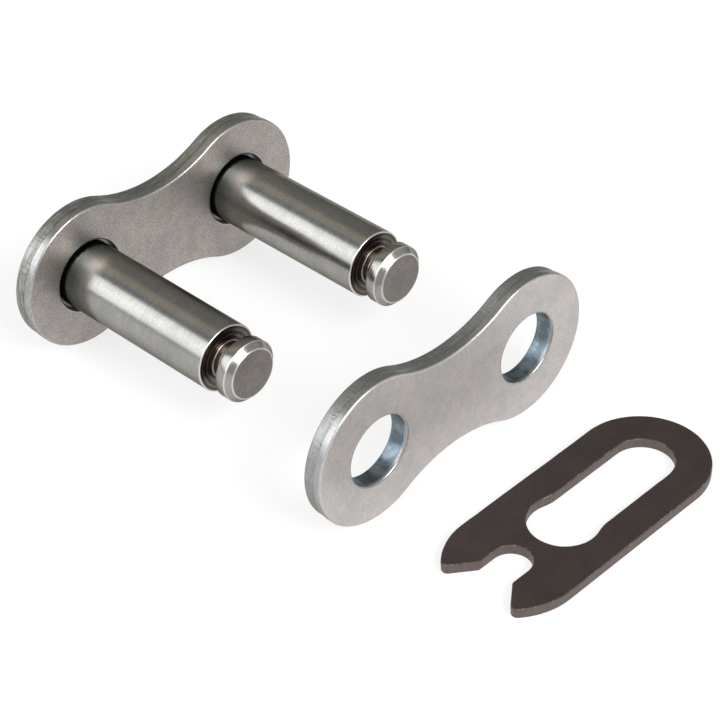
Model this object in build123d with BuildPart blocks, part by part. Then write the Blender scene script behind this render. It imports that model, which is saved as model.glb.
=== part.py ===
"""Connecting link of a roller chain: pin link, loose cover plate and spring clip, in millimetres.

X runs along the chain's pitch, the pins point along -Y and +Z is up. The origin lies midway
between the two pins, on the inner face of the link plate. The cover plate stands in front of
the pins, in line with them, and the spring clip lies flat in front of the cover plate.
"""
from math import sqrt, tan, radians
import os

from build123d import *

# Link plates
pitch = 12.7
head_radius = 4.85
waist_half_height = 3.33
link_plate_thickness = 1.45
cover_plate_thickness = 1.3

# Blanked edges of the plates: rolled front edge, bright land, rougher broken zone behind it
rollover_radius = 0.3
land_share = 0.42
break_relief = 0.05
burr_side_radius = 0.12

# Pins
pin_radius = 2.225
pin_body_length = 12.35
body_rim_chamfer = 0.16
groove_width = 1.15
neck_radius = 1.15
groove_root_radius = 0.12
head_step = 0.19
head_length = 1.1
head_chamfer = 0.38
head_back_chamfer = 0.05
head_edge_radius = 0.06

# Pins in the link plate: tapered press seat, relieved bore at the inner face, flared rivet end behind
press_taper = 0.02
relief_clearance = 0.2
relief_depth = 0.45
relief_edge_radius = 0.12
rivet_flare = 0.3
rivet_height = 0.35
rivet_edge_radius = 0.25

# Cover plate on the pins
cover_slip_clearance = 0.05
cover_hole_chamfer = 0.12
cover_standoff = 9.07

# Spring clip
clip_thickness = 0.7
clip_leg_width = 2.17
head_catch = 0.135
key_clearance = 0.125
key_blend_radius = 3.0
notch_clearance = 0.08
notch_play = 0.28
bridge_width = 1.15
throat_length = 1.3
fork_half_angle = 38.0
nose_setback = 0.35
nose_length = 4.57
tip_radius = 0.4
throat_radius = 0.25
clip_edge_radius = 0.07
clip_axis_gap = 8.57
clip_shift = 0.58

# Places along the pins, measured forwards from the link plate's inner face
groove_start = pin_body_length
groove_end = groove_start + groove_width
pin_length = groove_end + head_length
pin_head_radius = pin_radius - head_step
cover_front = pin_length + cover_standoff + cover_plate_thickness

# Sizes of the clip that follow the pins' grooves, from the centre of its closed end
slot_half_width = pin_head_radius - head_catch
clip_half_width = slot_half_width + clip_leg_width
key_radius = pin_head_radius + key_clearance
notch_radius = neck_radius + notch_clearance
neck_seat = slot_half_width - neck_radius
notch_center = neck_seat - pitch + notch_play
key_center = notch_center + notch_radius + bridge_width + key_radius
throat = notch_center - throat_length
nose_start = notch_center + nose_setback
nose_tip = nose_start - nose_length
fork_depth = clip_half_width / tan(radians(fork_half_angle))

# The link plate and the cover plate stand on this level, and the clip lies on it
floor_level = -head_radius
clip_center = (pitch / 2 + clip_shift, -(cover_front + clip_axis_gap))
selection_margin = 0.01


def plate_outline(plane, inset=0.0):
    """Two round heads, one pitch apart, drawn in by tangent arcs to a narrower waist."""
    head = head_radius - inset
    waist = waist_half_height - inset
    half_pitch = pitch / 2
    waist_radius = (half_pitch**2 + waist**2 - head**2) / (2 * (head - waist))
    waist_rise = waist + waist_radius
    reach = sqrt(half_pitch**2 + waist_rise**2)
    tangent_x = half_pitch * (1 - head / reach)
    tangent_z = head * waist_rise / reach
    with BuildSketch(plane) as outline:
        with BuildLine():
            ThreePointArc((tangent_x, tangent_z), (half_pitch + head, 0), (tangent_x, -tangent_z))
            ThreePointArc((tangent_x, -tangent_z), (0, -waist), (-tangent_x, -tangent_z))
            ThreePointArc((-tangent_x, -tangent_z), (-half_pitch - head, 0), (-tangent_x, tangent_z))
            ThreePointArc((-tangent_x, tangent_z), (0, waist), (tangent_x, tangent_z))
        make_face()
    return outline.sketch


os.makedirs("parts", exist_ok=True)

# Pins: ground body, turned groove for the clip, chamfered head, tapered seat and flared rivet end
plate_back = link_plate_thickness
rivet_top = plate_back + rivet_height
rivet_radius = pin_radius + rivet_flare
pins = []
for side, pin_x in (("left", -pitch / 2), ("right", pitch / 2)):
    with BuildPart() as pin:
        with BuildSketch(Plane((pin_x, 0, 0))) as profile:
            with BuildLine():
                Polyline(
                    (0, -pin_length),
                    (pin_head_radius - head_chamfer, -pin_length),
                    (pin_head_radius, head_chamfer - pin_length),
                    (pin_head_radius, -groove_end - head_back_chamfer),
                    (pin_head_radius - head_back_chamfer, -groove_end),
                    (neck_radius, -groove_end),
                    (neck_radius, -groove_start),
                    (pin_radius - body_rim_chamfer, -groove_start),
                    (pin_radius, body_rim_chamfer - groove_start),
                    (pin_radius, 0),
                    (pin_radius - press_taper, plate_back - rivet_flare),
                    (rivet_radius, plate_back),
                    (rivet_radius, rivet_top),
                    (0, rivet_top),
                    close=True,
                )
            make_face()
            groove_roots = profile.vertices().filter_by_position(
                Axis.X, neck_radius - selection_margin, neck_radius + selection_margin
            )
            fillet(groove_roots, groove_root_radius)
            head_levels = profile.vertices().group_by(Axis.Y)
            fillet(head_levels[0].sort_by(Axis.X)[-1:] + head_levels[1], head_edge_radius)
            rivet_rim = profile.vertices().sort_by(Axis.Y)[-2:].sort_by(Axis.X)[-1]
            fillet(rivet_rim, rivet_edge_radius)
        revolve(axis=Axis((pin_x, 0, 0), (0, 1, 0)))

    pin.part.label = f"pin_{side}"
    export_step(pin.part, f"parts/pin_{side}.step")
    pins.append(pin.part)

# Link plate: blanked, with two bores that fit the pins' seats and are relieved at the inner face
link_land = land_share * link_plate_thickness
with BuildPart() as link_plate:
    extrude(plate_outline(Plane.XZ), amount=-link_land)
    extrude(plate_outline(Plane.XZ.offset(-link_land), break_relief), amount=link_land - link_plate_thickness)
    fillet(link_plate.faces().sort_by(Axis.Y)[0].edges(), rollover_radius)
    fillet(link_plate.faces().sort_by(Axis.Y)[-1].edges(), burr_side_radius)
    add(pins, mode=Mode.SUBTRACT)
    with Locations(Plane.XZ), GridLocations(pitch, pitch, 2, 1):
        Hole(pin_radius + relief_clearance, depth=relief_depth)
    relief_mouths = link_plate.faces().sort_by(Axis.Y)[0].inner_wires()
    fillet(relief_mouths.edges(), relief_edge_radius)

link_plate.part.label = "link_plate"
export_step(link_plate.part, "parts/link_plate.step")

# Cover plate: the same blank, with two bores that slip over the pins
cover_land = land_share * cover_plate_thickness
cover_plane = Plane.XZ.offset(cover_front)
with BuildPart(cover_plane) as cover_plate:
    extrude(plate_outline(cover_plane), amount=-cover_land)
    extrude(
        plate_outline(cover_plane.offset(-cover_land), break_relief),
        amount=cover_land - cover_plate_thickness,
    )
    fillet(cover_plate.faces().sort_by(Axis.Y)[0].edges(), rollover_radius)
    fillet(cover_plate.faces().sort_by(Axis.Y)[-1].edges(), burr_side_radius)
    with GridLocations(pitch, pitch, 2, 1):
        Hole(pin_radius + cover_slip_clearance)
    front_mouths = cover_plate.faces().sort_by(Axis.Y)[0].inner_wires()
    back_mouths = cover_plate.faces().sort_by(Axis.Y)[-1].inner_wires()
    chamfer(front_mouths.edges() + back_mouths.edges(), cover_hole_chamfer)

cover_plate.part.label = "cover_plate"
export_step(cover_plate.part, "parts/cover_plate.step")

# Spring clip: keyhole slot over one pin's groove, sprung fork over the other's
with BuildPart() as spring_clip:
    with BuildSketch(Plane((*clip_center, floor_level))) as blank:
        with BuildLine():
            CenterArc((0, 0), clip_half_width, -90, 180)
            Line((0, clip_half_width), (nose_start, clip_half_width))
            TangentArc((nose_start, clip_half_width), (nose_tip, 0), tangent=(-1, 0))
            Line((0, -clip_half_width), (nose_start, -clip_half_width))
            TangentArc((nose_start, -clip_half_width), (nose_tip, 0), tangent=(-1, 0))
        make_face()
        with Locations((key_center / 2, 0)):
            Rectangle(-key_center, 2 * slot_half_width, mode=Mode.SUBTRACT)
        Circle(slot_half_width, mode=Mode.SUBTRACT)
        with Locations((key_center, 0)):
            Circle(key_radius, mode=Mode.SUBTRACT)
        key_shoulders = blank.vertices().filter_by_position(Axis.X, key_center, key_center + key_radius)
        fillet(key_shoulders, key_blend_radius)
        with Locations((notch_center, 0)):
            Circle(notch_radius, mode=Mode.SUBTRACT)
        with Locations((notch_center - throat_length / 2, 0)):
            Rectangle(throat_length, 2 * notch_radius, mode=Mode.SUBTRACT)
        with BuildLine():
            Polyline(
                (throat, notch_radius),
                (throat - fork_depth, notch_radius + clip_half_width),
                (throat - fork_depth, -notch_radius - clip_half_width),
                (throat, -notch_radius),
                close=True,
            )
        make_face(mode=Mode.SUBTRACT)
        fillet(blank.vertices().group_by(Axis.X)[0], tip_radius)
        throat_corners = blank.vertices().filter_by_position(
            Axis.X, throat - selection_margin, throat + selection_margin
        )
        fillet(throat_corners, throat_radius)
    extrude(amount=clip_thickness)
    clip_faces = spring_clip.faces().sort_by(Axis.Z)
    fillet(clip_faces[0].edges() + clip_faces[-1].edges(), clip_edge_radius)

spring_clip.part.label = "spring_clip"
export_step(spring_clip.part, "parts/spring_clip.step")
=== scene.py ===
"""Looks of a roller chain's connecting link: ground pins, blanked plates and a blackened spring clip."""
from math import acos, atan2, ceil, cos, degrees, hypot, pi, radians, sin, sqrt, tan

import bmesh
import bpy
from mathutils import Matrix, Vector, noise
from mathutils.geometry import delaunay_2d_cdt
from mathutils.kdtree import KDTree


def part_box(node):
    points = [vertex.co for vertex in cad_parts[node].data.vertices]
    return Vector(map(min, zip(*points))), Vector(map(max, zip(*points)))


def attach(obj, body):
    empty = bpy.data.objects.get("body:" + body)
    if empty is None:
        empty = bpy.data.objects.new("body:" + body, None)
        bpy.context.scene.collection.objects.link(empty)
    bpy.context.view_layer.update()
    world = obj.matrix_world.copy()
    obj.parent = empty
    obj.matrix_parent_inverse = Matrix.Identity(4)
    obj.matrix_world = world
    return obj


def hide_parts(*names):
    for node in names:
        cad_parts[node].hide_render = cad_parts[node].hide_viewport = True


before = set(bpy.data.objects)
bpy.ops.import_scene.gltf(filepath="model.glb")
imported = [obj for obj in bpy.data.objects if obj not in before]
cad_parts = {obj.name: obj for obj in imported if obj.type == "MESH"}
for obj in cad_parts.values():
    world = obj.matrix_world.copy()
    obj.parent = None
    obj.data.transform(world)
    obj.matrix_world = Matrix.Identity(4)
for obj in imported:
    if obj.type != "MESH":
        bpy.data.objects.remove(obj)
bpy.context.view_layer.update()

MM = 0.001

# Plates, in millimetres
PITCH = 12.7
HEAD_RADIUS = 4.85
WAIST_HALF_HEIGHT = 3.33
LINK_THICKNESS = 1.45
RELIEF_RADIUS = 2.425
RELIEF_DEPTH = 0.45
COVER_BORE_RADIUS = 2.275
MOUTH_RADIUS = 0.12

# Blanked edges of the plates: rolled front edge, land, torn zone set back behind it, small burr side
ROLLOVER = 0.15
LAND_SHARE = 0.42
TORN_INSET = 0.05
TORN_BLEND = 0.1
TORN_ROUGHNESS = 0.02
LAND_WAVE = 0.07
LAND_RIPPLE = 0.03
NICK_DEPTH = 0.03
DRAG_DEPTH = 0.016
BURR_RADIUS = 0.12

# Pins, in millimetres from the link plate's inner face
PIN_RADIUS = 2.225
SEAT_RADIUS = 2.205
SEAT_END = 1.15
RIVET_RADIUS = 2.525
RIVET_TOP = 1.8
RIVET_EDGE_RADIUS = 0.25
BODY_LENGTH = 12.35
BODY_RIM_RADIUS = 0.09
NECK_RADIUS = 1.15
GROOVE_ROOT_RADIUS = 0.12
GROOVE_END = 13.5
PIN_HEAD_RADIUS = 2.035
PIN_LENGTH = 14.6
HEAD_CHAMFER = 0.38
HEAD_BACK_CHAMFER = 0.05
HEAD_EDGE_RADIUS = 0.06

# Spring clip, in millimetres from the centre of its closed end, and degrees
CLIP_HALF_WIDTH = 4.07
CLIP_EDGE_RADIUS = 0.07
CLIP_TORN_INSET = 0.014
CLIP_DRAG_DEPTH = 0.007
SLOT_HALF_WIDTH = 1.90
KEY_RADIUS = 2.16
KEY_BLEND_RADIUS = 3.0
BRIDGE_WIDTH = 1.15
NOTCH_RADIUS = 1.23
NOTCH_PLAY = 0.28
THROAT_LENGTH = 1.3
THROAT_RADIUS = 0.25
NOSE_SETBACK = 0.35
NOSE_LENGTH = 4.57
TIP_RADIUS = 0.4
FORK_HALF_ANGLE = 38.0
NOTCH_CENTER = SLOT_HALF_WIDTH - NECK_RADIUS - PITCH + NOTCH_PLAY
KEY_CENTER = NOTCH_CENTER + NOTCH_RADIUS + BRIDGE_WIDTH + KEY_RADIUS
THROAT = NOTCH_CENTER - THROAT_LENGTH
NOSE_START = NOTCH_CENTER + NOSE_SETBACK

# Meshes: steps along an outline, points round a pin, and the flat strip kept beside a rounding
PLATE_STEP = 0.045
BORE_STEP = 0.055
CLIP_STEP = 0.05
FACE_SPACING = 0.6
PIN_SIDES = 224
RING_POINTS = 8
GUARD = 0.03

# Zones of a wall, kept as a colour at each point: red is wall, green torn, blue rim rubbing with painted
# highlight, alpha bore
FACE = (0, 0, 0, 0)
RIM = (1, 0, 1, 0)
LAND = (1, 0, 0, 0)
TORN = (1, 1, 0, 0)
BORE = (1, 0, 0, 1)

# Colours of the steel, its rubbing and its dirt, with painted shade and painted highlights
PLATE_SPECK = (0.12, 0.11, 0.105)
TORN_LINE = (0.07, 0.065, 0.055)
# Rubbing and painted highlight streaks on the plates' edges
RUBBED_EDGE_AND_HIGHLIGHT = (0.6, 0.62, 0.64)
# Rubbing and painted highlight on the plates' rims
WORN_RIM_AND_HIGHLIGHT = (0.55, 0.53, 0.51)
GROUND_STEEL = (0.365, 0.36, 0.34)
GROUND_STEEL_CLOUD = (0.32, 0.315, 0.295)
# Painted shade on the pins where they meet the link plate
PAINTED_SHADE_BESIDE_PLATE = (0.43, 0.48, 0.48)
GROOVE_ROOT = (0.30, 0.262, 0.232)
# Painted shade on the groove's shoulder, over the turned steel's brown
GROOVE_SHOULDER_SHADE = (0.095, 0.08, 0.072)
SHEARED_END = (0.27, 0.247, 0.232)
SHEARED_END_CLOUD = (0.22, 0.205, 0.195)
# Rubbing and painted highlight on the pins' edges
WORN_CORNER_AND_HIGHLIGHT = (0.72, 0.68, 0.65)
BLACKENED = (0.038, 0.0255, 0.0225)
BLACKENED_CLOUD = (0.029, 0.0205, 0.0185)
CLIP_WALL = (0.105, 0.079, 0.07)
CLIP_WALL_STREAK = (0.082, 0.061, 0.054)
# Rubbing and painted highlight on the clip's edges
WORN_CLIP_EDGE_AND_HIGHLIGHT = (0.22, 0.19, 0.17)

# The studio round the pins: degrees about the pins' direction from level right over the top, and colours
STUDIO = (
    (0, (0.30, 0.30, 0.29)), (66, (0.33, 0.33, 0.31)), (73, (0.57, 0.54, 0.46)), (96, (0.60, 0.56, 0.48)),
    (102, (0.33, 0.35, 0.38)), (115, (0.36, 0.38, 0.42)), (122, (2.1, 2.12, 2.15)), (145, (2.7, 2.7, 2.7)),
    (167, (2.1, 2.15, 2.25)), (172, (0.62, 0.68, 0.78)), (180, (0.7, 0.74, 0.8)),
)
FRONT_PANEL = (0.6, 0.6, 0.6)
WHITE = (1.0, 1.0, 1.0)
PAPER = (0.95, 0.95, 0.95)
FLOOR_HALF_SIZE = 0.5
LAMP_TARGET = (0.0, -0.012, 0.0)

# Camera of the photograph: degrees and millimetres
CAMERA_AZIMUTH = -44.5965
CAMERA_ELEVATION = 38.4806
CAMERA_ROLL = -2.0093
CAMERA_PLACE = (-82.695, -101.067, 92.325)
CAMERA_LENS = 125.0
SENSOR_WIDTH = 36.0


class Tree:
    """A node tree with short calls for the nodes that the finishes need."""

    def __init__(self, owner):
        owner.use_nodes = True
        self.nodes = owner.node_tree.nodes
        self.links = owner.node_tree.links
        self.nodes.clear()

    def put(self, socket, value):
        if isinstance(value, bpy.types.NodeSocket):
            self.links.new(value, socket)
        elif isinstance(value, tuple) and len(value) == 3 and socket.type == "RGBA":
            socket.default_value = (*value, 1.0)
        else:
            socket.default_value = value

    def node(self, kind, inputs=None, **settings):
        made = self.nodes.new(kind)
        for name, value in settings.items():
            setattr(made, name, value)
        for name, value in (inputs or {}).items():
            self.put(made.inputs[name], value)
        return made

    def math(self, operation, a, b=0.0):
        return self.node("ShaderNodeMath", {0: a, 1: b}, operation=operation).outputs[0]

    def product(self, *values):
        result = values[0]
        for value in values[1:]:
            result = self.math("MULTIPLY", result, value)
        return result

    def invert(self, value):
        return self.math("SUBTRACT", 1.0, value)

    def length(self, a, b):
        """Distance from two differences at right angles to each other."""
        return self.math("SQRT", self.math("ADD", self.product(a, a), self.product(b, b)))

    def ramp(self, value, low, high, out_low=0.0, out_high=1.0):
        """A smooth step from out_low at low to out_high at high."""
        made = self.node(
            "ShaderNodeMapRange",
            {"Value": value, "From Min": low, "From Max": high, "To Min": out_low, "To Max": out_high},
            interpolation_type="SMOOTHSTEP",
        )
        return made.outputs["Result"]

    def mix(self, share, a, b, blend="MIX"):
        made = self.node("ShaderNodeMix", data_type="RGBA", blend_type=blend)
        self.put(made.inputs["Factor"], share)
        colours = [socket for socket in made.inputs if socket.type == "RGBA"]
        self.put(colours[0], a)
        self.put(colours[1], b)
        return [socket for socket in made.outputs if socket.type == "RGBA"][0]

    def blend(self, share, a, b):
        made = self.node("ShaderNodeMix", data_type="FLOAT")
        values = [socket for socket in made.inputs if socket.type == "VALUE"]
        for socket, value in zip(values, (share, a, b)):
            self.put(socket, value)
        return made.outputs[0]

    def noise(self, place, scale, detail=3.0, roughness=0.55):
        made = self.node(
            "ShaderNodeTexNoise",
            {"Vector": place, "Scale": scale, "Detail": detail, "Roughness": roughness},
        )
        return made.outputs[0]

    def place(self):
        """The point in the row frame, in millimetres."""
        coordinates = self.node("ShaderNodeTexCoord")
        scaled = self.node("ShaderNodeVectorMath", {0: coordinates.outputs["Object"]}, operation="SCALE")
        scaled.inputs["Scale"].default_value = 1 / MM
        return scaled.outputs["Vector"]

    def parts(self, vector):
        return self.node("ShaderNodeSeparateXYZ", {0: vector}).outputs[:]

    def stretched(self, place, stretch):
        made = self.node("ShaderNodeVectorMath", {0: place, 1: stretch}, operation="MULTIPLY")
        return made.outputs["Vector"]

    def zones(self):
        """The mesh's zones: how much a point is wall, torn, worn rim and bore."""
        attribute = self.node("ShaderNodeAttribute", attribute_name="zones")
        return *self.parts(attribute.outputs["Color"]), attribute.outputs["Alpha"]

    def finish(self, colour, roughness, height, depth_mm, metallic=1.0, edge_tint=WHITE):
        bump = self.node(
            "ShaderNodeBump", {"Height": height, "Distance": depth_mm * MM, "Strength": 1.0}
        )
        shader = self.node(
            "ShaderNodeBsdfPrincipled",
            {
                "Base Color": colour,
                "Roughness": roughness,
                "Metallic": metallic,
                "Normal": bump.outputs[0],
            },
        )
        shader.inputs["Specular Tint"].default_value = (*edge_tint, 1.0)
        self.node("ShaderNodeOutputMaterial", {"Surface": shader.outputs[0]})


def plate_material(name, face, cloud, land, torn, bore, roughness, contrast, grain_depth, tear, rub_and_highlight):
    """Blanked steel: a tumbled face, a rolled rim painted bright as rubbing and highlight, a sheared land
    with rubbing and painted highlight streaks, and a torn zone behind it.
    """
    material = bpy.data.materials.new(name)
    tree = Tree(material)
    place = tree.place()
    wall, torn_share, rim, in_bore = tree.zones()

    clouds = tree.blend(0.4, tree.noise(place, 0.4, 5.0, 0.62), tree.noise(place, 1.7, 4.0, 0.65))
    grain = tree.noise(place, 8.0, 3.0, 0.7)
    speck = tree.noise(place, 13.0, 2.0, 0.6)
    colour = tree.mix(tree.ramp(clouds, 0.4, 0.6), face, cloud)
    shade = tree.math("ADD", tree.product(grain, 0.65), tree.product(speck, 0.35))
    colour = tree.mix(1.0, colour, tree.ramp(shade, 0.36, 0.62, 1 - contrast, 1 + contrast), "MULTIPLY")
    colour = tree.mix(tree.ramp(speck, 0.66, 0.74, 0.0, 2 * contrast), colour, PLATE_SPECK)

    streaks = tree.noise(tree.stretched(place, (14.0, 1.6, 14.0)), 1.0, 4.0, 0.7)
    edge_colour = tree.mix(torn_share, land, torn)
    patches = tree.ramp(tree.noise(place, 1.3, 4.0, 0.65), 0.38, 0.62, 0.72, 1.2)
    edge_colour = tree.mix(in_bore, edge_colour, tree.mix(1.0, bore, patches, "MULTIPLY"))
    edge_colour = tree.mix(1.0, edge_colour, tree.ramp(streaks, 0.34, 0.66, 0.9, 1.1), "MULTIPLY")
    # Bright bluish streaks on the sheared edges: rubbing and painted highlight
    rubbed_and_highlight = tree.noise(tree.stretched(place, (1.1, 7.0, 1.1)), 1.0, 4.0, 0.68)
    rubbed_and_highlight = tree.product(tree.ramp(rubbed_and_highlight, 0.48, 0.62), tree.invert(in_bore), rub_and_highlight)
    edge_colour = tree.mix(rubbed_and_highlight, edge_colour, RUBBED_EDGE_AND_HIGHLIGHT)
    torn_line = tree.product(torn_share, tree.invert(torn_share), 4.0)
    torn_line = tree.product(torn_line, tree.ramp(tree.noise(place, 1.1, 3.0), 0.42, 0.58, 0.25, 1.0), tear)
    edge_colour = tree.mix(torn_line, edge_colour, TORN_LINE)
    colour = tree.mix(wall, colour, edge_colour)
    # A broken bright line along the rims: rubbing of the edge and painted highlight
    edge_rubbing_and_highlight = tree.product(rim, tree.ramp(tree.noise(place, 3.0, 4.0, 0.7), 0.42, 0.58, 0.1, 1.0))
    colour = tree.mix(tree.product(edge_rubbing_and_highlight, 0.5), colour, WORN_RIM_AND_HIGHLIGHT)

    rough = tree.math("ADD", roughness - 0.08, tree.product(grain, 0.16))
    rough = tree.blend(wall, rough, tree.blend(torn_share, 0.3, 0.44))
    rough = tree.blend(edge_rubbing_and_highlight, rough, 0.3)
    height = tree.math("ADD", tree.product(grain, 0.6), tree.product(speck, 0.4))
    height = tree.blend(wall, height, tree.product(streaks, 0.7))
    tree.finish(colour, rough, height, grain_depth, edge_tint=(0.55, 0.54, 0.5))
    return material


def pin_material(name, side):
    """Ground steel with fine rings round it, a brown turned groove with painted shade on its shoulder,
    edges painted bright as rubbing and highlight, painted shade beside the plate, and a sheared end.
    """
    material = bpy.data.materials.new(name)
    tree = Tree(material)
    place = tree.place()
    x, y, z = tree.parts(place)
    off_axis = tree.math("SUBTRACT", x, side * PITCH / 2)
    radius = tree.length(off_axis, z)
    in_groove = tree.product(
        tree.ramp(y, 0.05 - BODY_LENGTH, -BODY_LENGTH),
        tree.ramp(y, -0.05 - GROOVE_END, -GROOVE_END),
        tree.ramp(radius, PIN_RADIUS - 0.085, PIN_RADIUS - 0.135),
    )
    end_face = tree.ramp(y, 0.015 - PIN_LENGTH, 0.005 - PIN_LENGTH)
    # Painted shade: the pin is darkened and tinted next to the link plate
    painted_shade_beside_plate = tree.product(tree.ramp(y, -2.0, -0.3), tree.ramp(y, 1.3, 0.5))

    def corner(corner_radius, corner_y, width):
        away = tree.length(tree.math("SUBTRACT", radius, corner_radius), tree.math("SUBTRACT", y, corner_y))
        return tree.ramp(away, width, width * 0.45)

    # Bright thin rings at the body's rim and the head's edges: rubbing of the edges and painted highlight
    edge_rubbing_and_highlight = corner(PIN_RADIUS - 0.03, 0.03 - BODY_LENGTH, 0.08)
    edge_rubbing_and_highlight = tree.math("MAXIMUM", edge_rubbing_and_highlight, corner(PIN_HEAD_RADIUS - 0.01, HEAD_CHAMFER - PIN_LENGTH, 0.07))
    edge_rubbing_and_highlight = tree.math("MAXIMUM", edge_rubbing_and_highlight, corner(PIN_HEAD_RADIUS - HEAD_CHAMFER, 0.01 - PIN_LENGTH, 0.08))

    clouds = tree.noise(place, 0.7, 4.0, 0.6)
    rings = tree.noise(tree.stretched(place, (0.9, 22.0, 0.9)), 1.0, 3.0, 0.6)
    grain = tree.noise(tree.stretched(place, (6.0, 9.0, 6.0)), 1.0, 3.0, 0.65)
    shade = tree.math("ADD", tree.product(rings, 0.5), tree.product(grain, 0.5))
    colour = tree.mix(tree.ramp(clouds, 0.35, 0.65), GROUND_STEEL, GROUND_STEEL_CLOUD)
    colour = tree.mix(1.0, colour, tree.ramp(shade, 0.33, 0.67, 0.87, 1.1), "MULTIPLY")
    # Painted shade where the pin meets the plate
    colour = tree.mix(painted_shade_beside_plate, colour, tree.mix(1.0, colour, PAINTED_SHADE_BESIDE_PLATE, "MULTIPLY"))
    # The groove's shoulder is coloured darker than its neck: painted shade in the groove, over the turned
    # brown
    shoulder = tree.ramp(radius, NECK_RADIUS + 0.05, NECK_RADIUS + 0.2)
    groove_colour_and_shade = tree.mix(shoulder, GROOVE_ROOT, GROOVE_SHOULDER_SHADE)
    groove_colour_and_shade = tree.mix(1.0, groove_colour_and_shade, tree.ramp(clouds, 0.3, 0.7, 1.15, 0.8), "MULTIPLY")
    colour = tree.mix(in_groove, colour, groove_colour_and_shade)
    end_colour = tree.mix(tree.ramp(clouds, 0.3, 0.7), SHEARED_END, SHEARED_END_CLOUD)
    end_colour = tree.mix(1.0, end_colour, tree.ramp(grain, 0.3, 0.7, 0.88, 1.1), "MULTIPLY")
    colour = tree.mix(end_face, colour, end_colour)
    colour = tree.mix(tree.product(edge_rubbing_and_highlight, 0.8), colour, WORN_CORNER_AND_HIGHLIGHT)

    rough = tree.math("ADD", 0.12, tree.product(shade, 0.16))
    rough = tree.blend(in_groove, rough, 0.24)
    rough = tree.blend(end_face, rough, 0.5)
    rough = tree.blend(edge_rubbing_and_highlight, rough, 0.3)
    height = tree.math("ADD", tree.product(rings, 0.3), tree.product(grain, 0.12))
    height = tree.blend(end_face, height, tree.product(grain, 1.5))
    tree.finish(colour, rough, height, 0.002, edge_tint=(0.4, 0.39, 0.36))
    return material


def clip_material(name):
    """Blackened spring steel, brown-black on its faces and thinner on its sheared walls and edges, with its
    edges painted lighter as rubbing and highlight.
    """
    material = bpy.data.materials.new(name)
    tree = Tree(material)
    place = tree.place()
    wall, _, rim, _ = tree.zones()
    clouds = tree.noise(place, 0.5, 4.0, 0.6)
    grain = tree.noise(place, 8.0, 3.0)
    streaks = tree.noise(tree.stretched(place, (8.0, 8.0, 0.8)), 1.0, 4.0, 0.65)
    colour = tree.mix(tree.ramp(clouds, 0.35, 0.65), BLACKENED, BLACKENED_CLOUD)
    colour = tree.mix(1.0, colour, tree.ramp(grain, 0.3, 0.7, 0.8, 1.2), "MULTIPLY")
    wall_colour = tree.mix(tree.ramp(streaks, 0.3, 0.7), CLIP_WALL, CLIP_WALL_STREAK)
    colour = tree.mix(wall, colour, wall_colour)
    # Lighter patches on the clip's edges: rubbing through the oxide and painted highlight
    edge_rubbing_and_highlight = tree.product(rim, tree.ramp(tree.noise(place, 2.2, 5.0, 0.7), 0.5, 0.62))
    colour = tree.mix(tree.product(edge_rubbing_and_highlight, 0.7), colour, WORN_CLIP_EDGE_AND_HIGHLIGHT)
    rough = tree.math("ADD", 0.46, tree.product(grain, 0.12))
    height = tree.blend(wall, grain, tree.product(streaks, 0.6))
    tree.finish(colour, rough, height, 0.003, metallic=0.25)
    return material


def tangent_path(arcs, step):
    """Points along arcs (x, y, radius, first and last angle) and the straight runs that join them.

    Each point is (x, y, outward x, outward y, distance). An arc that turns clockwise is hollow.
    """
    points = []

    def add(x, y, nx, ny):
        if not points:
            points.append((x, y, nx, ny, 0.0))
            return
        x0, y0, _, _, distance = points[-1]
        gap = hypot(x - x0, y - y0)
        if gap < step / 10:
            return
        pieces = ceil(gap / (1.5 * step))
        for k in range(1, pieces):
            share = k / pieces
            points.append((x0 + (x - x0) * share, y0 + (y - y0) * share, nx, ny, distance + gap * share))
        points.append((x, y, nx, ny, distance + gap))

    for cx, cy, radius, first, last in arcs:
        count = ceil(abs(radians(last - first)) * radius / step)
        side = 1 if last > first else -1
        for k in range(count + 1):
            angle = radians(first + (last - first) * k / count)
            add(cx + radius * cos(angle), cy + radius * sin(angle), side * cos(angle), side * sin(angle))
    first_x, first_y = points[0][:2]
    while hypot(points[-1][0] - first_x, points[-1][1] - first_y) < step / 2:
        points.pop()
    return points


def plate_path(step):
    """The plate's outline: two round heads joined by hollow waist arcs."""
    half = PITCH / 2
    squares = half**2 + WAIST_HALF_HEIGHT**2 - HEAD_RADIUS**2
    waist_radius = squares / (2 * (HEAD_RADIUS - WAIST_HALF_HEIGHT))
    rise = WAIST_HALF_HEIGHT + waist_radius
    lean = degrees(atan2(rise, half))
    return tangent_path([
        (half, 0, HEAD_RADIUS, lean - 180, 180 - lean),
        (0, rise, waist_radius, -lean, lean - 180),
        (-half, 0, HEAD_RADIUS, lean, 360 - lean),
        (0, -rise, waist_radius, 180 - lean, lean),
    ], step)


def swept_wall(mesh, zones, path, section, place):
    """The wall that a section makes along a path; it returns the loops of edges at its two ends."""
    rows = []
    for x, y, nx, ny, distance in path:
        row = []
        for inset, height, zone in section(x, y, distance):
            vertex = mesh.verts.new(place(x - nx * inset, y - ny * inset, height))
            vertex[zones] = zone
            row.append(vertex)
        rows.append(row)
    for row, following in zip(rows, rows[1:] + rows[:1]):
        for a, b, c, d in zip(row, following, following[1:], row[1:]):
            mesh.faces.new((a, b, c, d))
    pairs = list(zip(rows, rows[1:] + rows[:1]))
    return [[mesh.edges.get((row[end], following[end])) for row, following in pairs] for end in (0, -1)]


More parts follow.
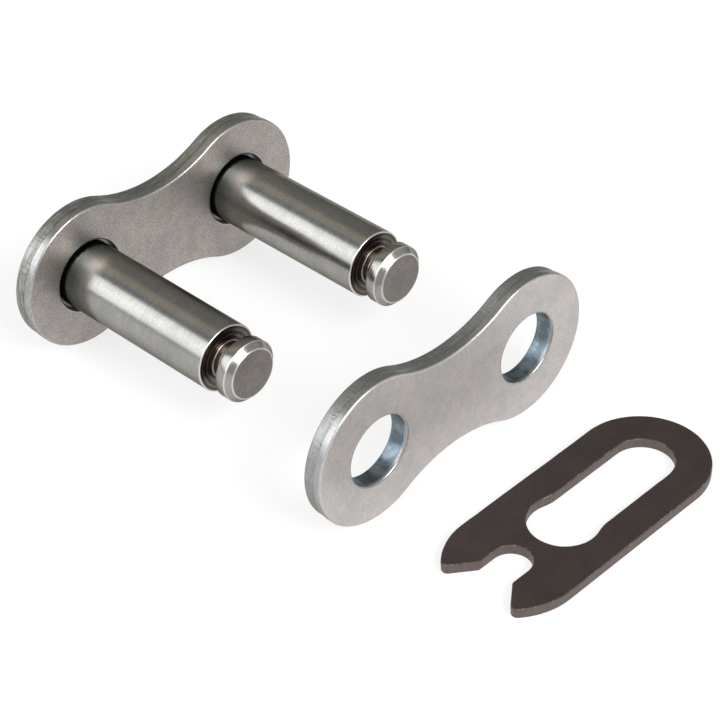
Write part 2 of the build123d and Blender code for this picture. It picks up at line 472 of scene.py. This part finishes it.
def fill_face(mesh, zones, loops, flat, place):
    """Even triangles between loops of edges that lie on one level, with the holes left open."""
    outline, sides = [], []
    for loop in loops:
        start = len(outline)
        outline += [edge.verts[0] if edge.verts[0] in loop[k - 1].verts else edge.verts[1]
                    for k, edge in enumerate(loop)]
        sides.append(list(range(start, len(outline))))
    spots = [Vector(flat(vertex.co)) for vertex in outline]
    near = KDTree(len(spots))
    for index, spot in enumerate(spots):
        near.insert((*spot, 0), index)
    near.balance()
    clearance = 0.75 * FACE_SPACING
    low, high = (Vector([f(spot[axis] for spot in spots) for axis in (0, 1)]) for f in (min, max))
    for column in range(ceil((high.x - low.x) / FACE_SPACING)):
        for row in range(ceil((high.y - low.y) / FACE_SPACING)):
            spot = low + FACE_SPACING * Vector((column, row + 0.5 * (column % 2)))
            if near.find((*spot, 0))[2] > clearance:
                spots.append(spot)
    holes_left_out, merge_distance = 2, 1e-6
    filled = delaunay_2d_cdt(spots, [], sides, holes_left_out, merge_distance)
    corners, _, triangles, sources, _, _ = filled
    made = {}
    for triangle in triangles:
        for index in triangle:
            if index not in made and sources[index][0] < len(outline):
                made[index] = outline[sources[index][0]]
            elif index not in made:
                made[index] = mesh.verts.new(place(*corners[index]))
                made[index][zones] = FACE
        mesh.faces.new([made[index] for index in triangle])


def finish_mesh(mesh, name, node_name, body, material, sharp=40):
    """Turns the mesh into the piece that replaces a node and rides on its body."""
    bmesh.ops.recalc_face_normals(mesh, faces=mesh.faces)
    for vertex in mesh.verts:
        vertex.co *= MM
    data = bpy.data.meshes.new(name)
    mesh.to_mesh(data)
    mesh.free()
    data.polygons.foreach_set("use_smooth", [True] * len(data.polygons))
    data.set_sharp_from_angle(angle=radians(sharp))
    data.materials.append(material)
    piece = bpy.data.objects.new(name, data)
    bpy.context.scene.collection.objects.link(piece)
    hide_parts(node_name)
    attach(piece, body)


def quarter(radius, count):
    """Steps (inset, height) round a quarter circle, from a face to the wall behind it."""
    angles = [pi / 2 * k / count for k in range(count + 1)]
    return [(radius * (1 - sin(angle)), radius * (1 - cos(angle))) for angle in angles]


def sheared_edge(thickness):
    """Section of a blanked edge: rolled rim, straight land, torn zone with drag lines, small burr side."""

    def section(x, y, distance):
        place = Vector((x, y, 0))
        wave = LAND_WAVE * noise.noise(place * 0.9) + LAND_RIPPLE * noise.noise(place * 4.0)
        land_end = LAND_SHARE * thickness + wave
        nick = NICK_DEPTH * max(0.0, noise.noise(place * 2.3) - 0.25)
        steps = [(ROLLOVER + GUARD, 0.0, FACE)]
        for inset, height in quarter(ROLLOVER, 9):
            turn = height / ROLLOVER
            # The rim share that the plate finish paints bright as rubbing and highlight
            rim_rubbing_and_highlight = max(0.0, 1 - abs(turn - 0.25) * 4)
            steps.append((inset + nick * (1 - turn), height, (turn, 0, rim_rubbing_and_highlight, 0)))
        steps += [(0.0, 0.5 * (ROLLOVER + land_end), LAND), (0.0, land_end - TORN_BLEND, LAND)]
        depth = TORN_INSET + TORN_ROUGHNESS * noise.noise(place * 7.0)
        for torn, share, rise in ((0.2, 0.15, -0.5), (0.5, 0.5, 0.0), (0.8, 0.85, 0.5)):
            steps.append((share * depth, land_end + rise * TORN_BLEND, (1, torn, 0, 0)))
        steps += [(depth, land_end + TORN_BLEND, TORN)]
        first, last = land_end + TORN_BLEND, thickness - BURR_RADIUS
        for share in (0.25, 0.5, 0.75, 1.0):
            height = first + (last - first) * share
            drag = DRAG_DEPTH * noise.noise(Vector((distance * 5.0, height * 0.8, 3.0)))
            steps.append((TORN_INSET + drag * (1 - share * 0.6), height, TORN))
        for inset, height in reversed(quarter(BURR_RADIUS, 4)[:-1]):
            steps.append((TORN_INSET + inset, thickness - height, TORN))
        steps.append((TORN_INSET + BURR_RADIUS + GUARD, thickness, FACE))
        return steps

    return section


def cover_bore(thickness):
    """Section of a slip bore: rounded mouths at the front and the back with a straight wall between."""

    def section(x, y, distance):
        mouth = quarter(MOUTH_RADIUS, 5)
        steps = [(MOUTH_RADIUS + GUARD, 0.0, FACE)] + [(inset, height, RIM) for inset, height in mouth]
        steps += [(0.0, thickness * share, BORE) for share in (0.2, 0.5, 0.8)]
        steps += [(inset, thickness - height, BORE) for inset, height in reversed(mouth)]
        return steps + [(MOUTH_RADIUS + GUARD, thickness, FACE)]

    return section


def relieved_bore(thickness):
    """Section of a press bore, seen from its relieved mouth: pocket, seat and flare at the back."""
    step = RELIEF_RADIUS - PIN_RADIUS
    seat = RELIEF_RADIUS - SEAT_RADIUS
    flare = RIVET_RADIUS - RELIEF_RADIUS
    ledge_guard = 0.05

    def section(x, y, distance):
        mouth = quarter(MOUTH_RADIUS, 5)
        steps = [(MOUTH_RADIUS + GUARD, 0.0, FACE)] + [(inset, height, RIM) for inset, height in mouth]
        steps += [(-inset, RELIEF_DEPTH, BORE) for inset in (0.0, ledge_guard, step)]
        return steps + [(-seat, SEAT_END, BORE), (flare, thickness, BORE), (flare + GUARD, thickness, FACE)]

    return section


def make_plate(name, node_name, body, material, bore, bore_radius):
    """A plate between its front and back faces, with a blanked outline and two bores."""
    front, back = (corner.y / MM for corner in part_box(node_name))

    def place(x, z, height):
        return (x, front + height, z)

    mesh = bmesh.new()
    zones = mesh.verts.layers.float_color.new("zones")
    ends = [swept_wall(mesh, zones, plate_path(PLATE_STEP), sheared_edge(back - front), place)]
    for side in (-1, 1):
        circle = tangent_path([(side * PITCH / 2, 0, bore_radius, 360, 0)], BORE_STEP)
        ends.append(swept_wall(mesh, zones, circle, bore(back - front), place))

    for level, height in enumerate((0, back - front)):
        loops = [end[level] for end in ends]
        fill_face(mesh, zones, loops, lambda co: (co.x, co.z), lambda x, z: place(x, z, height))
    finish_mesh(mesh, name, node_name, body, material)


def clip_paths(step):
    """Outlines of the clip: round end, ogival nose with a sprung fork, and the keyhole slot."""
    nose_radius = (NOSE_LENGTH**2 + CLIP_HALF_WIDTH**2) / (2 * CLIP_HALF_WIDTH)
    nose_y = CLIP_HALF_WIDTH - nose_radius
    fork_facing = 270 - FORK_HALF_ANGLE
    facing = Vector((cos(radians(fork_facing)), sin(radians(fork_facing))))
    inside = nose_radius - TIP_RADIUS
    depth = Vector((NOSE_START - THROAT, nose_y - NOTCH_RADIUS)).dot(facing)
    tip_turn = fork_facing - degrees(acos((-TIP_RADIUS - depth) / inside))
    tip_x = NOSE_START + inside * cos(radians(tip_turn))
    tip_y = nose_y + inside * sin(radians(tip_turn))
    throat_x = THROAT + THROAT_RADIUS * (1 + facing.y) / -facing.x
    throat_y = NOTCH_RADIUS + THROAT_RADIUS
    outside = tangent_path([
        (NOSE_START, -nose_y, nose_radius, 360 - tip_turn, 270),
        (0, 0, CLIP_HALF_WIDTH, -90, 90),
        (NOSE_START, nose_y, nose_radius, 90, tip_turn),
        (tip_x, tip_y, TIP_RADIUS, tip_turn, fork_facing),
        (throat_x, throat_y, THROAT_RADIUS, fork_facing, 270),
        (NOTCH_CENTER, 0, NOTCH_RADIUS, 90, -90),
        (throat_x, -throat_y, THROAT_RADIUS, 90, 360 - fork_facing),
        (tip_x, -tip_y, TIP_RADIUS, 360 - fork_facing, 360 - tip_turn),
    ], step)
    blend_y = SLOT_HALF_WIDTH + KEY_BLEND_RADIUS
    blend_x = KEY_CENTER + sqrt((KEY_RADIUS + KEY_BLEND_RADIUS)**2 - blend_y**2)
    shoulder = degrees(atan2(blend_y, KEY_CENTER - blend_x))
    slot = tangent_path([
        (blend_x, blend_y, KEY_BLEND_RADIUS, -shoulder, -90),
        (0, 0, SLOT_HALF_WIDTH, 90, -90),
        (blend_x, -blend_y, KEY_BLEND_RADIUS, 90, shoulder),
        (KEY_CENTER, 0, KEY_RADIUS, shoulder - 180, -shoulder - 180),
    ], step)
    return outside, slot


def clip_edge(thickness):
    """Section of the clip's sheared wall: soft edges and a slightly rougher lower half."""

    def section(x, y, distance):
        place = Vector((x, y, 0))
        soft = CLIP_EDGE_RADIUS * (1.15 + 0.5 * noise.noise(place * 1.1))
        steps = [(soft + GUARD, 0.0, FACE)]
        for inset, height in quarter(soft, 5):
            turn = height / soft
            # The rim share that the clip finish paints lighter as rubbing and highlight
            steps.append((inset, height, (turn, 0, max(0.0, 1 - abs(turn - 0.35) * 2.5), 0)))
        split = thickness * (0.5 + 0.12 * noise.noise(place * 1.7))
        steps += [(0.0, split - 0.04, LAND), (CLIP_TORN_INSET - 0.002, split + 0.03, TORN)]
        for share in (0.6, 0.75):
            drag = CLIP_DRAG_DEPTH * noise.noise(Vector((distance * 4.0, share, 8.0)))
            steps.append((CLIP_TORN_INSET + drag, thickness * share + 0.08, TORN))
        for inset, height in reversed(quarter(CLIP_EDGE_RADIUS, 4)):
            zone = (height / CLIP_EDGE_RADIUS, 1, 0, 0)
            steps.append((CLIP_TORN_INSET + inset, thickness - height, zone))
        steps.append((CLIP_TORN_INSET + CLIP_EDGE_RADIUS + GUARD, thickness, FACE))
        return steps

    return section


def make_clip(name, node_name, material):
    """The clip lies flat, with its sheared outlines swept downwards from its upper face."""
    low, high = (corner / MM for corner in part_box(node_name))
    centre_x, centre_y = high.x - CLIP_HALF_WIDTH, (low.y + high.y) / 2
    thickness = high.z - low.z

    def place(x, y, height):
        return (centre_x + x, centre_y + y, high.z - height)

    def flat(co):
        return (co.x - centre_x, co.y - centre_y)

    mesh = bmesh.new()
    zones = mesh.verts.layers.float_color.new("zones")
    edge = clip_edge(thickness)
    ends = [swept_wall(mesh, zones, path, edge, place) for path in clip_paths(CLIP_STEP)]
    for level, height in enumerate((0, thickness)):
        loops = [end[level] for end in ends]
        fill_face(mesh, zones, loops, flat, lambda x, y: place(x, y, height))
    finish_mesh(mesh, name, node_name, "clip", material)


def rounded(corners, steps=5):
    """A profile (radius, place) through corners (radius, place, rounding)."""
    path = [corners[0][:2]]
    for before, corner, after in zip(corners, corners[1:], corners[2:]):
        point = Vector(corner[:2])
        if not corner[2]:
            path.append(tuple(point))
            continue
        one, other = (Vector(before[:2]) - point).normalized(), (Vector(after[:2]) - point).normalized()
        half = one.angle(other) / 2
        centre = point + (one + other).normalized() * corner[2] / sin(half)
        start, end = point + one * corner[2] / tan(half), point + other * corner[2] / tan(half)
        first, last = atan2(*(start - centre).yx), atan2(*(end - centre).yx)
        turn = (last - first + pi) % (2 * pi) - pi
        path.append(tuple(start + one * GUARD))
        for k in range(steps + 1):
            angle = first + turn * k / steps
            path.append((centre.x + corner[2] * cos(angle), centre.y + corner[2] * sin(angle)))
        path.append(tuple(end + other * GUARD))
    path.append(corners[-1][:2])
    return path


def turned(first, last, ripple, pitch):
    """A cut from one point of the profile to another, with the fine rings that the tool leaves."""
    start, end = Vector(first), Vector(last)
    length = (end - start).length
    across = Vector((start.y - end.y, end.x - start.x)).normalized()
    count = ceil(length / pitch * RING_POINTS)
    points = []
    for k in range(count + 1):
        fade = min(1.0, 4 * min(k, count - k) / count)
        swing = 0.5 * ripple * fade * (1 - cos(2 * pi * k / RING_POINTS))
        points.append((*(start.lerp(end, k / count) + across * swing), 0))
    return points


def make_pin(name, node_name, side, material):
    """Profile of the pin from its riveted end to its head, turned about its axis."""
    root, shoulder, head_back = 1.36, 2.08, 1.9
    middle, near, far = -6, -BODY_LENGTH, -GROOVE_END
    corners = [(0, RIVET_TOP, 0), (RIVET_RADIUS, RIVET_TOP, RIVET_EDGE_RADIUS)]
    corners += [(RIVET_RADIUS, LINK_THICKNESS, 0), (SEAT_RADIUS, SEAT_END, 0)]
    corners += [(PIN_RADIUS, 0, 0), (PIN_RADIUS, middle, 0), (PIN_RADIUS, near, BODY_RIM_RADIUS)]
    corners += turned((shoulder, near), (root, near), ripple=-0.02, pitch=0.36)
    corners += [(NECK_RADIUS, near, GROOVE_ROOT_RADIUS)]
    corners += turned((NECK_RADIUS, near - 0.2), (NECK_RADIUS, far + 0.2), ripple=0.01, pitch=0.15)
    corners += [(NECK_RADIUS, far, GROOVE_ROOT_RADIUS)]
    corners += turned((root, far), (head_back, far), ripple=-0.02, pitch=0.18)
    corners += [(PIN_HEAD_RADIUS - HEAD_BACK_CHAMFER, far, 0)]
    corners += [(PIN_HEAD_RADIUS, far - HEAD_BACK_CHAMFER, 0)]
    corners += [(PIN_HEAD_RADIUS, HEAD_CHAMFER - PIN_LENGTH, HEAD_EDGE_RADIUS)]
    corners += [(PIN_HEAD_RADIUS - HEAD_CHAMFER, -PIN_LENGTH, HEAD_EDGE_RADIUS), (0, -PIN_LENGTH, 0)]
    mesh = bmesh.new()
    centre = side * PITCH / 2
    angles = [2 * pi * k / PIN_SIDES for k in range(PIN_SIDES)]
    rings = []
    for radius, y in rounded(corners)[1:-1]:
        points = [(centre + radius * cos(angle), y, radius * sin(angle)) for angle in angles]
        rings.append([mesh.verts.new(point) for point in points])
    for ring, following in zip(rings, rings[1:]):
        for k in range(PIN_SIDES):
            mesh.faces.new((ring[k], ring[k - 1], following[k - 1], following[k]))
    mesh.faces.new(rings[0])
    mesh.faces.new(rings[-1])
    finish_mesh(mesh, name, node_name, "pin_link", material, sharp=50)


def make_floor():
    """A sheet of white paper that takes a faint shadow near the link and none further out."""
    size, level = FLOOR_HALF_SIZE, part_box("link_plate")[0].z
    mesh = bpy.data.meshes.new("floor")
    corners = [(-size, -size, level), (size, -size, level), (size, size, level), (-size, size, level)]
    mesh.from_pydata(corners, [], [(0, 1, 2, 3)])
    floor = bpy.data.objects.new("floor", mesh)
    bpy.context.scene.collection.objects.link(floor)
    material = bpy.data.materials.new("pale_paper")
    tree = Tree(material)
    distance = tree.length(*tree.parts(tree.place())[:2])
    paper = tree.node("ShaderNodeBsdfDiffuse", {"Color": PAPER})
    white = tree.node("ShaderNodeEmission", {"Color": WHITE, "Strength": 1.0})
    share = tree.ramp(distance, 30.0, 120.0, 0.75, 1.0)
    mixed = tree.node("ShaderNodeMixShader", {0: share, 1: paper.outputs[0], 2: white.outputs[0]})
    tree.node("ShaderNodeOutputMaterial", {"Surface": mixed.outputs[0]})
    mesh.materials.append(material)


def make_world():
    """A strip light at the left, dim panels over it and at the right, a grey one in front, white below."""
    world = bpy.data.worlds.new("studio")
    bpy.context.scene.world = world
    tree = Tree(world)
    direction = tree.node("ShaderNodeTexCoord").outputs["Generated"]
    x, y, z = tree.parts(direction)
    around = tree.math("DIVIDE", tree.math("ARCTAN2", z, x), pi)
    ramp = tree.node("ShaderNodeValToRGB", {"Fac": around})
    stops = ramp.color_ramp.elements
    for index, (angle, colour) in enumerate(STUDIO):
        stop = stops[index] if index < 2 else stops.new(angle / 180)
        stop.position = angle / 180
        stop.color = (*colour, 1.0)
    colour = tree.mix(tree.ramp(y, -0.1, -0.45), ramp.outputs[0], FRONT_PANEL)
    colour = tree.mix(tree.ramp(z, 0.02, -0.02), colour, WHITE)
    background = tree.node("ShaderNodeBackground", {"Color": colour, "Strength": 1.0})
    tree.node("ShaderNodeOutputWorld", {"Surface": background.outputs[0]})


def make_lamp(name, direction, distance, size, power):
    """A soft box that faces the link from the given direction."""
    lamp = bpy.data.lights.new(name, "AREA")
    lamp.shape = "RECTANGLE"
    lamp.size, lamp.size_y = size
    lamp.energy = power
    made = bpy.data.objects.new(name, lamp)
    bpy.context.scene.collection.objects.link(made)
    away = Vector(direction).normalized()
    made.location = away * distance + Vector(LAMP_TARGET)
    made.rotation_euler = away.to_track_quat("Z", "Y").to_euler()


def make_camera():
    """The photograph's camera, turned from its azimuth, elevation and roll."""
    azimuth, elevation, roll = (radians(a) for a in (CAMERA_AZIMUTH, CAMERA_ELEVATION, CAMERA_ROLL))
    level_right = Vector((cos(azimuth), sin(azimuth), 0))
    forward = Vector((-sin(azimuth) * cos(elevation), cos(azimuth) * cos(elevation), -sin(elevation)))
    level_up = level_right.cross(forward)
    right = cos(roll) * level_right + sin(roll) * level_up
    down = sin(roll) * level_right - cos(roll) * level_up
    turn = Matrix((right, -down, -forward)).transposed()
    data = bpy.data.cameras.new("camera")
    data.lens = CAMERA_LENS
    data.sensor_width = SENSOR_WIDTH
    data.clip_start = 1 * MM
    data.clip_end = 10.0
    camera = bpy.data.objects.new("camera", data)
    camera.matrix_world = Matrix.Translation(Vector(CAMERA_PLACE) * MM) @ turn.to_4x4()
    bpy.context.scene.collection.objects.link(camera)
    bpy.context.scene.camera = camera


make_camera()
make_floor()
make_world()
make_lamp("front_softbox", direction=(-0.05, -0.75, 0.62), distance=0.5, size=(0.26, 0.2), power=2.2)
bpy.context.scene.view_settings.view_transform = "Standard"

link_finish = plate_material(
    "link_plate_finish", face=(0.405, 0.370, 0.350), cloud=(0.335, 0.313, 0.303), land=(0.34, 0.34, 0.325),
    torn=(0.25, 0.247, 0.225), bore=(0.2, 0.2, 0.2), roughness=0.45, contrast=0.26, grain_depth=0.0025,
    tear=0.5, rub_and_highlight=0.4,
)
cover_finish = plate_material(
    "cover_plate_finish", face=(0.595, 0.557, 0.538), cloud=(0.52, 0.5, 0.49), land=(0.36, 0.365, 0.36),
    torn=(0.29, 0.295, 0.285), bore=(0.17, 0.215, 0.25), roughness=0.5, contrast=0.1, grain_depth=0.003,
    tear=0.12, rub_and_highlight=0.2,
)
make_plate(
    "blanked_link_plate", "link_plate", "pin_link", link_finish,
    relieved_bore, RELIEF_RADIUS,
)
make_plate(
    "blanked_cover_plate", "cover_plate", "cover", cover_finish,
    cover_bore, COVER_BORE_RADIUS,
)
make_pin("turned_pin_left", "pin_left", -1, pin_material("pin_left_finish", -1))
make_pin("turned_pin_right", "pin_right", 1, pin_material("pin_right_finish", 1))
make_clip("blackened_clip", "spring_clip", clip_material("clip_finish"))
